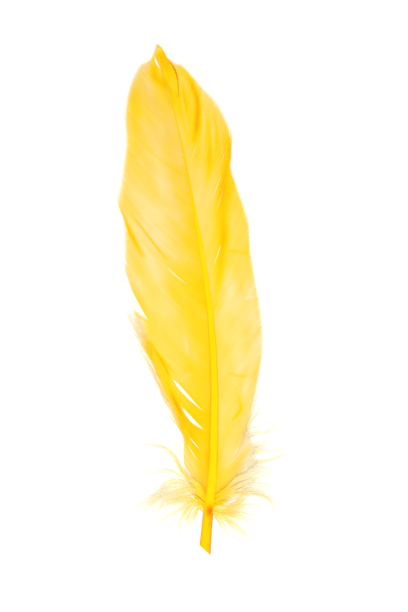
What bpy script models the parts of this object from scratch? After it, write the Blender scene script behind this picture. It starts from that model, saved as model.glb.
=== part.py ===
"""A turkey wing feather, dyed yellow, lying on its back with the inner side of the wing up.

Five solids: the shaft, the wide vane on the left, the narrow vane on the right, and the two
tufts of down at their feet. Everything is laid out in millimetres in the feather's own
frame: y runs up the feather from the end of the quill, x to the right, z up from the surface
it lies on. The last step turns that into metres and puts the origin on that surface, under
the middle of the feather.
"""

import math

import bmesh
import bpy
import numpy as np

MM = 0.001
LENGTH = 280.0

# The shaft: quill below the umbilicus, rachis above it.
SHAFT_END = 268.0  # the rachis runs out this far up, inside the tip of the vanes
SHAFT_LINE = (  # y, x of its middle
    (0, -0.3), (20, 3.3), (38, 7.1), (67, 11.1), (92, 13.6), (128, 15.0),
    (160, 14.0), (194, 11.2), (232, 7.3), (253, 4.1), (LENGTH, 0.0),
)
SHAFT_SIZE = (  # y, width, height
    (0, 5.6, 5.0), (24, 5.8, 5.2), (42, 5.4, 4.8), (67, 5.0, 4.3), (138, 3.6, 3.0),
    (194, 2.2, 1.9), (232, 1.2, 1.1), (LENGTH, 0.5, 0.5),
)
SHAFT_SIDES = 16
SHAFT_FLAT = 0.08  # share of its height planed off underneath
SHAFT_STEP = 7.0
CUT_AT = 1.2  # y of the middle of the quill's cut end
CUT_SLANT = 5.0  # how much further down the right side of the cut reaches
QUILL_WALL = 0.7
HOLLOW_DEPTH = 12.0

# The shaft lies flat between these two, and its ends rise off the surface.
FLAT_FROM, FLAT_TO = 55.0, 200.0
QUILL_RISE, TIP_RISE = 3.0, 8.0

# Each vane, as its barbs: y where the barb leaves the shaft, x and y of its tip, and how far
# it sags towards the quill, as a share of its length.
LEFT_BARBS = (
    (30, -7.5, 48.8, 0.10), (42, -7.0, 61.5, 0.10), (51, -8.6, 72.0, 0.10),
    (58, -13.0, 85.0, 0.18), (65, -19.0, 104.0, 0.20), (73, -25.0, 121.0, 0.12),
    (81, -28.7, 134.0, 0.08), (89, -29.0, 144.0, 0.08), (100, -29.2, 157.5, 0.12),
    (120, -28.3, 175.0, 0.16), (139, -28.3, 188.5, 0.18), (143, -29.6, 193.5, 0.18),
    (160, -27.0, 205.5, 0.18), (196, -21.6, 231.0, 0.18), (211, -21.4, 241.5, 0.18),
    (226, -19.0, 253.0, 0.18), (240, -15.2, 262.5, 0.18), (251, -9.6, 270.3, 0.15),
    (258, -4.8, 272.2, 0.10), (SHAFT_END, -0.7, 279.5, 0.0),
)
RIGHT_BARBS = (
    (32, 24.0, 47.0, 0.10), (42, 29.3, 61.0, 0.10), (55, 33.6, 77.5, 0.12),
    (70, 38.6, 94.5, 0.12), (85, 42.0, 109.0, 0.12), (100, 42.7, 124.5, 0.12),
    (115, 41.6, 143.5, 0.10), (130, 40.2, 163.0, 0.05), (142, 40.3, 180.5, 0.0),
    (151, 36.0, 199.0, 0.0), (165, 33.8, 210.5, 0.0), (178, 35.5, 222.5, 0.0),
    (195, 34.0, 234.0, 0.0), (212, 28.5, 246.5, 0.0), (228, 20.5, 257.0, 0.0),
    (240, 13.0, 267.0, 0.0), (251, 7.8, 269.8, 0.0), (259, 4.0, 273.8, 0.0),
    (SHAFT_END, 0.8, 279.2, 0.0),
)
# The split in the wide vane: the barb it follows, how far out it starts, how wide it opens
# at the edge, and how many millimetres of shaft the barbs that gave way come from.
SPLIT_ROOT, SPLIT_FROM, SPLIT_WIDTH, SPLIT_REACH = 89.0, 0.66, 14.0, 9.0
VANE_THICK = 0.45
VANE_ROWS, VANE_COLUMNS = 58, 10
VANE_DIP = 0.45  # where across its width a vane lies on the surface
EDGE_LIFT, EDGE_WAVE, WAVE_LENGTH = 2.2, 1.2, 95.0

# The tufts of down: y where the barbs leave the shaft, x and y of their tips, and the sag.
LEFT_DOWN = (
    (21.5, -6.0, 10.0, 0.0), (22.5, -13.5, 9.5, 0.0), (24, -24.0, 15.0, -0.05),
    (25, -36.0, 20.0, -0.08), (26, -41.0, 27.0, -0.08), (27, -35.0, 40.0, 0.0),
    (28, -31.0, 54.0, 0.10), (29, -32.0, 66.5, 0.16),
)
RIGHT_DOWN = (
    (22, 9.5, 12.0, 0.0), (23, 17.0, 6.0, 0.0), (24, 26.0, 2.5, -0.05),
    (25.5, 37.0, 8.0, -0.08), (27, 47.0, 17.5, -0.08), (28, 44.0, 27.0, -0.05),
    (29, 46.0, 39.0, 0.05), (30, 49.0, 50.0, 0.10), (31, 45.0, 65.5, 0.14),
)
DOWN_ROWS, DOWN_COLUMNS = 25, 8
DOWN_LOFT = 2.8  # half its thickness where it is fullest
DOWN_ROOT_HEIGHT, DOWN_TIP_HEIGHT = 2.6, 2.0

GAP = 0.3  # between pieces that touch

DYED_SHAFT = ("dyed_shaft", (0.92, 0.62, 0.02), 0.35)
DYED_VANE = ("dyed_vane", (0.93, 0.70, 0.13), 0.60)
PALE_DOWN = ("pale_down", (0.92, 0.82, 0.52), 0.85)


def clear_scene():
    for thing in list(bpy.data.objects):
        bpy.data.objects.remove(thing, do_unlink=True)


def smooth(table, at):
    """The smooth curve through a table's rows, read at a value of its first column."""
    rows = np.array(table, float)
    key, values = rows[:, 0], rows[:, 1:]
    slope = np.gradient(values, key, axis=0)
    i = int(np.clip(np.searchsorted(key, at, side="right") - 1, 0, len(key) - 2))
    step = key[i + 1] - key[i]
    t = (at - key[i]) / step
    near = (1 + 2 * t) * (1 - t) ** 2 * values[i] + t * (1 - t) ** 2 * step * slope[i]
    far = t * t * (3 - 2 * t) * values[i + 1] + t * t * (t - 1) * step * slope[i + 1]
    return near + far


def rise(y):
    """How far the underside of the shaft is off the surface."""
    if y < FLAT_FROM:
        return QUILL_RISE * ((FLAT_FROM - y) / FLAT_FROM) ** 2
    if y > FLAT_TO:
        return TIP_RISE * ((y - FLAT_TO) / (LENGTH - FLAT_TO)) ** 2
    return 0.0


def material(name, colour, roughness):
    made = bpy.data.materials.new(name)
    made.use_nodes = True
    shader = made.node_tree.nodes["Principled BSDF"]
    shader.inputs["Base Color"].default_value = (*colour, 1.0)
    shader.inputs["Roughness"].default_value = roughness
    shader.inputs["Metallic"].default_value = 0.0
    return made


def add_piece(name, points, faces, finish):
    """An object from points in millimetres, shaded smooth except at its sharp edges."""
    mesh = bpy.data.meshes.new(name)
    mesh.from_pydata([tuple(float(c) * MM for c in p) for p in points], [], faces)
    work = bmesh.new()
    work.from_mesh(mesh)
    bmesh.ops.recalc_face_normals(work, faces=work.faces)
    closed = all(edge.is_manifold for edge in work.edges)
    if closed and work.calc_volume(signed=True) < 0:
        bmesh.ops.reverse_faces(work, faces=work.faces)
    work.to_mesh(mesh)
    work.free()
    mesh.shade_smooth()
    mesh.set_sharp_from_angle(angle=math.radians(40))
    mesh.materials.append(finish)
    piece = bpy.data.objects.new(name, mesh)
    bpy.context.scene.collection.objects.link(piece)
    return piece


# --- the shaft ---------------------------------------------------------------------------


def shaft_ring(y, inset=0.0):
    """One cross-section of the shaft: an oval, flat underneath, square to its line."""
    middle = float(smooth(SHAFT_LINE, y)[0])
    ahead = float(smooth(SHAFT_LINE, y + 1.0)[0]) - middle
    width, height = smooth(SHAFT_SIZE, y)
    across = np.array((1.0, -ahead, 0.0)) / math.hypot(1.0, ahead)
    ring = []
    for k in range(SHAFT_SIDES):
        turn = 2 * math.pi * k / SHAFT_SIDES
        side = (width / 2 - inset) * math.cos(turn)
        up = height / 2 + (height / 2 - inset) * math.sin(turn)
        up = max(up, SHAFT_FLAT * height + inset) - SHAFT_FLAT * height
        ring.append(np.array((middle, y, rise(y) + up)) + side * across)
    return ring


def slanted(ring, y):
    """A ring at the quill's cut end, pushed along the shaft to lie in the cut."""
    middle = float(smooth(SHAFT_LINE, y)[0])
    width = float(smooth(SHAFT_SIZE, y)[0])
    fade = max(0.0, 1.0 - (y - CUT_AT) / HOLLOW_DEPTH)
    return [p - np.array((0.0, CUT_SLANT * fade * (p[0] - middle) / width, 0.0)) for p in ring]


def shaft():
    """Rings from the bottom of the quill's hollow, round the cut edge, and up to the tip."""
    bottom = CUT_AT + HOLLOW_DEPTH
    inner = [bottom, (CUT_AT + bottom) / 2, CUT_AT]
    steps = int((SHAFT_END - bottom) / SHAFT_STEP)
    outer = [CUT_AT, (CUT_AT + bottom) / 2]
    outer += [bottom + (SHAFT_END - bottom) * k / steps for k in range(steps + 1)]
    rings = [slanted(shaft_ring(y, QUILL_WALL), y) for y in inner]
    rings += [slanted(shaft_ring(y), y) for y in outer]
    points = [p for ring in rings for p in ring]
    faces = []
    for r in range(len(rings) - 1):
        for k in range(SHAFT_SIDES):
            a, b = r * SHAFT_SIDES + k, r * SHAFT_SIDES + (k + 1) % SHAFT_SIDES
            faces.append((a, b, b + SHAFT_SIDES, a + SHAFT_SIDES))
    last = (len(rings) - 1) * SHAFT_SIDES
    faces.append(tuple(range(SHAFT_SIDES)))
    faces.append(tuple(range(last, last + SHAFT_SIDES)))
    return points, faces


# --- the vanes ---------------------------------------------------------------------------


def barb(table, side, root, out):
    """x, y at a share of the way out along the barb that leaves the shaft at y = root."""
    tip_x, tip_y, sag = smooth(table, root)
    clear = float(smooth(SHAFT_SIZE, root)[0]) / 2 + GAP
    start = np.array((float(smooth(SHAFT_LINE, root)[0]) + side * clear, root))
    tip = np.array((tip_x, tip_y))
    length = float(np.linalg.norm(tip - start))
    bend = (start + tip) / 2 - np.array((0.0, sag * length))
    return (1 - out) ** 2 * start + 2 * out * (1 - out) * bend + out * out * tip


def parted(table, side, root, out, which):
    """barb, moved off the split: which is 1 for the barbs above it and -1 for those below."""
    place = barb(table, side, root, out)
    if side > 0 or out <= SPLIT_FROM:
        return place
    opening = ((out - SPLIT_FROM) / (1 - SPLIT_FROM)) ** 1.2
    yielding = math.exp(-(((root - SPLIT_ROOT) / SPLIT_REACH) ** 2))
    return place + np.array((0.0, which * SPLIT_WIDTH / 2 * opening * yielding))


def vane_height(root, y, out):
    """z of the middle of a vane: down from the shaft, along the surface, and up at the edge."""
    held = 0.34 * float(smooth(SHAFT_SIZE, root)[1])
    inner = max(0.0, 1 - out / VANE_DIP) ** 2
    outer = max(0.0, (out - VANE_DIP) / (1 - VANE_DIP)) ** 2
    lift = EDGE_LIFT + EDGE_WAVE * math.sin(2 * math.pi * y / WAVE_LENGTH)
    return VANE_THICK / 2 + rise(y) + held * inner + lift * outer


def vane(name, table, side, finish):
    """A sheet of barbs, thickened to a solid. The row on the split is there twice."""
    first, last = table[0][0], table[-1][0]
    rows = [first + (last - first) * k / (VANE_ROWS - 1) for k in range(VANE_ROWS)]
    rows = [(root, 1.0 if root > SPLIT_ROOT else -1.0) for root in rows]
    if side < 0:
        rows += [(SPLIT_ROOT, -1.0), (SPLIT_ROOT, 1.0)]
    rows.sort()
    points, numbers, shared = [], [], {}
    for root, which in rows:
        line = []
        for column in range(VANE_COLUMNS + 1):
            out = column / VANE_COLUMNS
            x, y = parted(table, side, root, out, which)
            key = (root, column) if out <= SPLIT_FROM else (root, column, which)
            if key not in shared:
                shared[key] = len(points)
                points.append((x, y, vane_height(root, y, out)))
            line.append(shared[key])
        numbers.append(line)
    faces = []
    for below, above in zip(numbers, numbers[1:]):
        if below[0] == above[0]:
            continue
        for c in range(VANE_COLUMNS):
            faces.append((below[c], below[c + 1], above[c + 1], above[c]))
    piece = add_piece(name, points, faces, finish)
    thick = piece.modifiers.new("thickness", "SOLIDIFY")
    thick.thickness = VANE_THICK * MM
    thick.offset = 0.0
    return piece


# --- the down ----------------------------------------------------------------------------


def down(name, table, side, finish):
    """A plain cushion with the plan of one tuft: full in the middle, thin all round."""
    first, last = table[0][0], table[-1][0]
    middle, half = [], []
    for r in range(DOWN_ROWS):
        root = first + (last - first) * r / (DOWN_ROWS - 1)
        for c in range(DOWN_COLUMNS + 1):
            out = c / DOWN_COLUMNS
            x, y = barb(table, side, root, out)
            full = math.sin(math.pi * out) * math.sin(math.pi * r / (DOWN_ROWS - 1))
            loft = DOWN_LOFT * math.sqrt(max(0.0, full))
            z = rise(y) + DOWN_ROOT_HEIGHT + (DOWN_TIP_HEIGHT - DOWN_ROOT_HEIGHT) * out
            middle.append(np.array((x, y, max(z, loft + GAP))))
            half.append(np.array((0.0, 0.0, loft)))
    wide = DOWN_COLUMNS + 1
    count = DOWN_ROWS * wide
    inside = [
        0 < i // wide < DOWN_ROWS - 1 and 0 < i % wide < DOWN_COLUMNS for i in range(count)
    ]
    points = [middle[i] + half[i] * inside[i] for i in range(count)]
    under = list(range(count))
    for i in range(count):
        if inside[i]:
            under[i] = len(points)
            points.append(middle[i] - half[i])
    faces = []
    for r in range(DOWN_ROWS - 1):
        for c in range(DOWN_COLUMNS):
            corners = [r * wide + c, r * wide + c + 1, (r + 1) * wide + c + 1, (r + 1) * wide + c]
            faces.append(tuple(corners))
            faces.append(tuple(under[i] for i in reversed(corners)))
    return add_piece(name, points, faces, finish)


# --- the feather -------------------------------------------------------------------------


def centre_on_surface(pieces):
    """Moves every piece so that the origin is under the middle of them all, on the surface."""
    bpy.context.view_layer.update()
    graph = bpy.context.evaluated_depsgraph_get()
    corners = []
    for piece in pieces:
        seen = piece.evaluated_get(graph)
        corners += [tuple(v.co) for v in seen.data.vertices]
    low, high = np.min(corners, axis=0), np.max(corners, axis=0)
    move = -np.array(((low[0] + high[0]) / 2, (low[1] + high[1]) / 2, low[2]))
    for piece in pieces:
        piece.location = move


def build():
    clear_scene()
    shaft_finish = material(*DYED_SHAFT)
    vane_finish = material(*DYED_VANE)
    down_finish = material(*PALE_DOWN)
    pieces = [
        add_piece("shaft", *shaft(), shaft_finish),
        vane("left_vane", LEFT_BARBS, -1, vane_finish),
        vane("right_vane", RIGHT_BARBS, 1, vane_finish),
        down("left_down", LEFT_DOWN, -1, down_finish),
        down("right_down", RIGHT_DOWN, 1, down_finish),
    ]
    centre_on_surface(pieces)


build()
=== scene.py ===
"""The looks of a dyed turkey wing feather lying inner side up.

Everything is laid out in millimetres in the feather's own frame, as in the CAD: y runs up
the feather from the end of the quill, x to the right, z up from the surface. place() turns
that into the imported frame. The vanes are made barb by barb, the down fibre by fibre.
"""

import math

import bpy
import numpy as np
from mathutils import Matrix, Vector


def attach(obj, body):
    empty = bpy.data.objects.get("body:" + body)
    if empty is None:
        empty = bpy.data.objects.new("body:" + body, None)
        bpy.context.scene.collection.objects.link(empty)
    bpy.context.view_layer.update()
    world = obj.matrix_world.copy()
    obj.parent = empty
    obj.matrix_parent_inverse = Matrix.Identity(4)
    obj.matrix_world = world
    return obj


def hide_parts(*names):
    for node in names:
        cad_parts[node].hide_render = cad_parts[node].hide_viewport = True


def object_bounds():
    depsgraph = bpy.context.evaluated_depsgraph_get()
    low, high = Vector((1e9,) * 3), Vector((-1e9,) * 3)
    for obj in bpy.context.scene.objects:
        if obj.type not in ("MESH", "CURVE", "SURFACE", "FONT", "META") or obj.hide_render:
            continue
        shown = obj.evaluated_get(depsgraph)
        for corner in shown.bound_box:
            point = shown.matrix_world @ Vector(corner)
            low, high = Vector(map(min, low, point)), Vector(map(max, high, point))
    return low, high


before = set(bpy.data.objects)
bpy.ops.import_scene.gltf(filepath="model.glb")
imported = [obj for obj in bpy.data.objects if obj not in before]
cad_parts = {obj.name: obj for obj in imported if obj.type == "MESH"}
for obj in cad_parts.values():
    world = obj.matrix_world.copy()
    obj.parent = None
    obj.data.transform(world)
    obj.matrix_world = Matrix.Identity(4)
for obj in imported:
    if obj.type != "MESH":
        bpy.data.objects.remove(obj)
CAD_LOW, CAD_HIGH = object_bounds()

MM = 0.001
LENGTH = 280.0
LEFT_REACH = -41.0  # x of the CAD's left tuft at its furthest
TIP_REACH = 279.62  # y of the CAD's furthest point
FOOT = np.array(
    (CAD_LOW.x - LEFT_REACH * MM, CAD_HIGH.y - TIP_REACH * MM, 0.0)
)  # the feather frame's own origin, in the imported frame

# --- the shape of the feather ------------------------------------------------------------
#
# The shaft is the CAD's, and so is the vanes' outline, but for the barbs at the foot and
# about the split, which follow the photo more closely here.

SHAFT_END = 268.0
SHAFT_LINE = (  # y, x of its middle
    (0, -0.3), (20, 3.3), (38, 7.1), (67, 11.1), (92, 13.6), (128, 15.0),
    (160, 14.0), (194, 11.2), (232, 7.3), (253, 4.1), (LENGTH, 0.0),
)
SHAFT_SIZE = (  # y, width, height
    (0, 5.6, 5.0), (24, 5.8, 5.2), (42, 5.4, 4.8), (67, 5.0, 4.3), (138, 3.6, 3.0),
    (194, 2.2, 1.9), (232, 1.2, 1.1), (LENGTH, 0.5, 0.5),
)
SHAFT_FLAT = 0.08  # how much of its height is cut away where it lies flat
CUT_AT, CUT_SLANT, HOLLOW_DEPTH, QUILL_WALL = 1.2, 5.0, 12.0, 0.7
FLAT_FROM, FLAT_TO = 55.0, 200.0  # y between which the feather lies flat
QUILL_RISE, TIP_RISE = 3.0, 8.0  # how far its ends rise
LEFT_BARBS = (  # y of the root, x and y of the tip, sag as a share of the length
    (24, -6.0, 35.5, 0.06), (27, -7.9, 41.0, 0.08), (30, -7.4, 47.5, 0.10),
    (36, -7.0, 54.0, 0.10), (42, -6.0, 62.3, 0.10), (51, -8.4, 72.0, 0.10),
    (58, -13.0, 85.0, 0.18), (65, -19.0, 104.0, 0.20), (73, -25.0, 121.0, 0.12),
    (81, -26.2, 129.0, 0.08), (89, -27.2, 141.5, 0.08), (100, -29.2, 157.5, 0.12),
    (120, -28.3, 175.0, 0.16), (139, -28.3, 188.5, 0.18), (143, -29.6, 193.5, 0.18),
    (160, -27.0, 205.5, 0.18), (196, -21.6, 231.0, 0.18), (211, -21.4, 241.5, 0.18),
    (226, -19.0, 253.0, 0.18), (240, -15.2, 262.5, 0.18), (251, -9.6, 270.3, 0.15),
    (258, -4.8, 272.2, 0.10), (SHAFT_END, -0.7, 279.5, 0.0),
)
RIGHT_BARBS = (
    (24, 24.0, 30.0, 0.04), (27, 30.5, 37.0, 0.06), (31, 32.8, 44.5, 0.08),
    (36, 33.0, 53.0, 0.10), (43, 29.8, 62.0, 0.10), (55, 33.6, 77.5, 0.12),
    (70, 38.6, 94.5, 0.12), (85, 42.0, 109.0, 0.12), (100, 42.7, 124.5, 0.12),
    (115, 41.6, 143.5, 0.10), (130, 40.2, 163.0, 0.05), (142, 40.3, 180.5, 0.0),
    (151, 36.0, 199.0, 0.0), (165, 33.8, 210.5, 0.0), (178, 35.5, 222.5, 0.0),
    (195, 34.0, 234.0, 0.0), (212, 28.5, 246.5, 0.0), (228, 20.5, 257.0, 0.0),
    (240, 13.0, 267.0, 0.0), (251, 7.8, 269.8, 0.0), (259, 4.0, 273.8, 0.0),
    (SHAFT_END, 0.8, 279.2, 0.0),
)
SPLIT_ROOT, SPLIT_FROM, SPLIT_WIDTH, SPLIT_REACH = 90.0, 0.79, 12.0, 8.0
BARB_BASE = (  # y of the root, how far from the shaft's middle, how high
    (24, 2.7, 2.4), (67, 2.35, 2.0), (138, 1.5, 1.6), (194, 0.85, 1.2), (232, 0.46, 0.72),
    (LENGTH, 0.15, 0.35),
)
VANE_THICK = 0.45
VANE_DIP = 0.45  # how far out a vane lies lowest
EDGE_LIFT, EDGE_WAVE, WAVE_LENGTH = 2.2, 1.2, 95.0

# --- the vanes' looks --------------------------------------------------------------------

BARB_PITCH = 0.4  # between the roots of neighbouring barbs
BARB_STEPS = 36
BARB_LAP = 1.5  # width of a barb with its barbules, as a share of the spacing
CLINGING = (0.8, 3.2)  # how wide the locks of barbs are that cling together
BARB_SWAY = 0.05  # how far a barb's tip strays along the vane

# Small laps at random: how far the barbs part there (less than nothing where they lap), where
# along the barb they start, how far apart they are along the vane, and how far the others
# give way.
LAP_GAP, LAP_START, LAP_EVERY, LAP_REACH = (-0.6, 0.10), (0.1, 0.6), (2.5, 8.0), 2.5

# How much the dye's depth varies, over how far along the vane and how far along a barb.
DYE_BLOTCHES = ((0.13, 13.0, 11.0), (0.05, 4.0, 9.0), (0.05, 0.8, 22.0))
BARB_RUN = 50.0  # about how long a barb is

# How deep the dye lies: y, then near the shaft, halfway out and at the edge.
LEFT_DYE = (
    (27, 0.88, 0.30, 0.06), (38, 0.84, 0.30, 0.10), (48, 0.84, 0.46, 0.24),
    (58, 0.86, 0.80, 0.62), (98, 0.66, 0.36, 0.32), (135, 0.80, 0.46, 0.42),
    (163, 0.73, 0.25, 0.30), (195, 0.62, 0.26, 0.34), (240, 0.38, 0.40, 0.48),
    (270, 0.52, 0.40, 0.20), (LENGTH, 0.20, 0.20, 0.15),
)
RIGHT_DYE = (
    (27, 0.92, 0.24, 0.00), (38, 0.80, 0.32, 0.00), (50, 0.58, 0.36, 0.02),
    (62, 0.46, 0.38, 0.20), (110, 0.42, 0.29, 0.23), (128, 0.33, 0.25, 0.22),
    (145, 0.31, 0.34, 0.34), (165, 0.37, 0.50, 0.51), (200, 0.28, 0.51, 0.49),
    (235, 0.51, 0.63, 0.45), (270, 0.83, 0.54, 0.22), (LENGTH, 0.20, 0.20, 0.15),
)
# How much less light the vane gives back than it might: y, then how much.
# Painted shade on the vane, darker towards its tip: y, then how much of its colour is taken away.
LEFT_PAINTED_SHADE = ((24, 0.0), (140, 0.0), (180, 0.03), (220, 0.05), (250, 0.08), (LENGTH, 0.10))
RIGHT_PAINTED_SHADE = ((24, 0.0), (170, 0.0), (200, 0.02), (240, 0.04), (LENGTH, 0.05))
# Slits and laps between barbs: y of the root, from and to along the barb, how far they part
# there (less than nothing where they lap), and how far along the vane the others give way.
LEFT_SLITS = (
    (73.5, 0.07, 0.52, 2.5, 5.0), (64.5, 0.08, 0.50, 3.2, 4.0), (51.5, 0.24, 0.60, 1.3, 2.5),
    (42.5, 0.28, 0.84, 1.0, 2.5), (140.5, 0.18, 0.46, 0.8, 3.0), (140.5, 0.44, 0.94, -2.6, 2.5),
    (262.0, 0.40, 0.86, 2.7, 1.2),
)
RIGHT_SLITS = (
    (149.0, 0.10, 0.42, 0.8, 3.0), (176.0, 0.30, 0.66, 0.8, 3.0), (182.5, 0.48, 0.86, 0.5, 2.0),
    (165.0, 0.36, 0.72, 0.4, 2.0), (212.0, 0.08, 0.30, 0.5, 2.5), (43.0, 0.38, 0.74, 1.0, 2.5),
)
SLIT_SKEW = (1.4, 0.5)  # so that a slit is widest well out from the shaft
# Creases, where the vane turns over on itself, and pale streaks between: points along each,
# its width and how much deeper it is painted there: the doubled vane, and painted shade in the fold.
LEFT_CREASES = (
    (((-30.0, 194.0), (-27.5, 187.0), (-24.5, 179.0), (-21.5, 171.0), (-19.0, 165.5)), 1.2, 0.70),
    (((-22.5, 188.0), (-16.3, 178.3), (-11.5, 170.7), (-6.5, 163.0)), 0.6, 0.60),
    (((-12.2, 261.4), (-16.0, 250.0), (-16.0, 238.0), (-17.5, 222.0)), 2.6, 0.18),
    (
        ((-27.5, 131.5), (-24.0, 124.5), (-19.0, 113.0), (-13.5, 99.0), (-8.5, 85.0), (-4.5, 75.0),
         (0.5, 68.0)),
        3.0, 0.42,
    ),
    (((-20.0, 118.0), (-12.5, 106.0), (-7.0, 98.5)), 0.8, 0.55),
    (((-20.2, 119.0), (-15.6, 109.8), (-11.9, 101.7), (-10.5, 93.8)), 0.9, 0.80),
    (((-12.7, 93.5), (-10.0, 87.1), (-7.3, 80.2), (-5.2, 73.4)), 1.1, 0.72),
    (((-3.4, 96.3), (-0.8, 97.9), (2.1, 98.4)), 0.45, -0.35),
    (((-0.3, 120.0), (0.4, 115.0), (0.2, 109.0)), 0.8, -0.25),
    (((-2.6, 272.5), (-3.2, 269.0), (-3.4, 265.0), (-1.0, 260.5), (2.0, 258.0)), 2.4, 0.60),
)
RIGHT_CREASES = (
    (((12.2, 267.0), (17.2, 256.4), (19.2, 247.0), (18.3, 238.4), (15.4, 226.7)), 1.7, 0.80),
    (
        ((33.4, 224.0), (30.5, 205.0), (28.4, 191.0), (26.6, 171.0), (22.4, 153.5), (17.8, 135.5)),
        2.9, 0.60,
    ),
    (((35.6, 230.0), (34.2, 216.0), (34.4, 205.0), (36.6, 196.0)), 1.6, 0.45),
    (((12.4, 259.0), (12.2, 252.0), (12.9, 244.0)), 0.9, 0.25),
    (((26.7, 82.5), (26.9, 76.6), (22.2, 70.8)), 0.8, 0.45),
    (((11.2, 258.0), (10.8, 249.0), (11.6, 240.0), (12.2, 232.0)), 0.6, -0.30),
    (((20.0, 249.0), (21.6, 239.0), (20.0, 226.0), (18.2, 214.0)), 0.7, -0.30),
    (((25.6, 240.0), (25.8, 228.0), (23.8, 214.0), (21.6, 204.0)), 0.6, -0.28),
    (((28.9, 237.0), (30.2, 226.0), (29.6, 212.0)), 0.5, -0.25),
    (((24.0, 236.0), (23.8, 226.0), (22.6, 213.0), (19.8, 201.0)), 1.7, 0.32),
    (((27.8, 240.5), (28.2, 230.0), (27.4, 216.0)), 0.8, 0.25),
    (((35.6, 136.9), (37.6, 137.2), (40.0, 137.6)), 0.5, -0.35),
    (((24.5, 165.6), (31.5, 163.3), (39.0, 161.5)), 0.6, 0.36),
    (((21.9, 96.8), (27.2, 94.7), (33.8, 94.0)), 0.6, 0.36),
)
CREASE_RIDGE = 0.5

# Where a vane's edge has come apart: y of the first root and the last, how far out it starts,
# and how much.
LEFT_FRAYS = (
    (20, 29, 0.20, 1.0), (44, 76, 0.90, 0.7), (74, 88, 0.74, 1.2), (104, 140, 0.965, 0.4),
)
RIGHT_FRAYS = ((20, 36, 0.35, 1.1), (37, 62, 0.92, 0.6))

# Loose strands: points along them, how many, how far apart they lie, and how deep the dye
# lies where they begin and along the rest.
LEFT_STRANDS = (
    (((-4.0, 62.0), (-9.2, 71.0), (-12.2, 75.5), (-15.3, 79.2)), 3, 0.3, 0.60, 0.10),
    (((-4.0, 61.0), (-7.4, 68.1), (-10.9, 78.1), (-14.6, 85.3), (-18.4, 96.7)), 6, 0.5, 0.60, 0.12),
    (((-6.0, 68.0), (-11.5, 82.3), (-14.2, 88.0), (-17.8, 98.0), (-21.5, 105.5)), 7, 0.6, 0.70, 0.14),
    (((-12.5, 84.0), (-17.6, 97.0), (-21.4, 106.0), (-25.4, 115.0)), 7, 0.7, 0.70, 0.12),
    (((-16.0, 97.0), (-22.3, 110.0), (-25.8, 118.0), (-28.8, 124.5)), 6, 0.7, 0.70, 0.12),
    (((-19.0, 108.0), (-24.5, 119.0), (-27.5, 126.0), (-31.4, 135.6)), 9, 0.6, 0.80, 0.10),
    (((-19.0, 110.0), (-24.0, 121.0), (-26.5, 128.0), (-29.4, 135.8)), 8, 0.6, 0.80, 0.12),
    (((-19.0, 113.0), (-23.5, 123.0), (-25.3, 131.0), (-27.5, 141.8)), 8, 0.6, 0.80, 0.10),
    (((-18.5, 115.0), (-22.5, 124.0), (-24.0, 130.0), (-25.2, 136.6)), 7, 0.5, 0.80, 0.10),
)
RIGHT_STRANDS = (
    (((27.0, 62.0), (31.5, 71.4), (35.0, 79.0), (38.6, 91.4)), 5, 0.4, 0.30, 0.08),
    (((27.0, 60.0), (32.1, 69.2), (35.2, 73.0), (38.1, 74.2)), 4, 0.3, 0.30, 0.08),
    (((25.0, 56.0), (31.1, 65.8), (35.3, 66.1), (38.8, 67.5)), 4, 0.4, 0.30, 0.08),
    (((34.0, 212.0), (35.2, 220.0), (35.8, 226.0), (36.0, 231.5)), 5, 0.15, 0.80, 0.40),
)

# --- the down ----------------------------------------------------------------------------

# Each wisp: y on the shaft where it grows, points along it, how many fibres, how far apart
# they lie, and how many more fill the space between it and the next wisp.
LEFT_WISPS = (
    (
        28, ((-2.0, 38.0), (-7.6, 43.3), (-11.0, 50.8), (-15.0, 56.6), (-23.6, 60.0), (-30.5, 61.0)),
        20, 0.9, 0,
    ),
    (
        28, ((-2.0, 38.0), (-7.7, 43.8), (-11.2, 51.5), (-16.0, 58.2), (-22.0, 61.6), (-27.2, 64.3)),
        9, 0.5, 0,
    ),
    (28, ((-2.0, 38.2), (-7.8, 44.0), (-11.0, 52.0), (-10.9, 57.4), (-10.3, 64.5)), 4, 0.3, 0),
    (31, ((-5.1, 39.7), (-11.1, 43.4), (-15.3, 46.4), (-23.5, 46.8), (-29.4, 44.5)), 10, 0.6, 0),
    (31, ((-5.1, 40.0), (-13.0, 45.4), (-14.4, 49.4), (-15.3, 52.7)), 3, 0.3, 0),
    (30, ((-2.7, 38.2), (-7.7, 39.3), (-14.6, 40.6), (-21.3, 36.8), (-34.4, 32.0)), 19, 1.7, 21),
    (29, ((-3.1, 35.4), (-13.3, 34.5), (-22.2, 33.7), (-31.0, 29.4), (-40.5, 28.4)), 14, 1.4, 22),
    (28, ((-3.1, 33.4), (-13.4, 32.4), (-21.6, 31.6), (-30.5, 26.9), (-40.8, 24.3)), 14, 1.4, 21),
    (26, ((-3.9, 29.5), (-12.8, 29.1), (-20.2, 27.5), (-28.2, 22.7)), 12, 1.0, 21),
    (
        26, ((-6.0, 29.5), (-16.3, 29.3), (-22.0, 26.9), (-23.5, 23.0), (-22.9, 20.1), (-19.7, 20.1)),
        4, 0.5, 0,
    ),
    (25, ((-3.8, 27.4), (-12.3, 23.9), (-19.7, 19.5), (-25.5, 15.6)), 12, 0.8, 13),
    (24, ((-3.8, 26.4), (-9.5, 22.7), (-13.0, 16.1), (-13.3, 10.7)), 9, 0.6, 8),
    (23, ((-2.3, 25.1), (-6.3, 21.0), (-8.2, 14.5), (-10.5, 9.8)), 8, 0.6, 4),
    (22, ((-1.3, 24.6), (-3.9, 20.8), (-7.3, 13.9)), 6, 0.5, 0),
)
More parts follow.
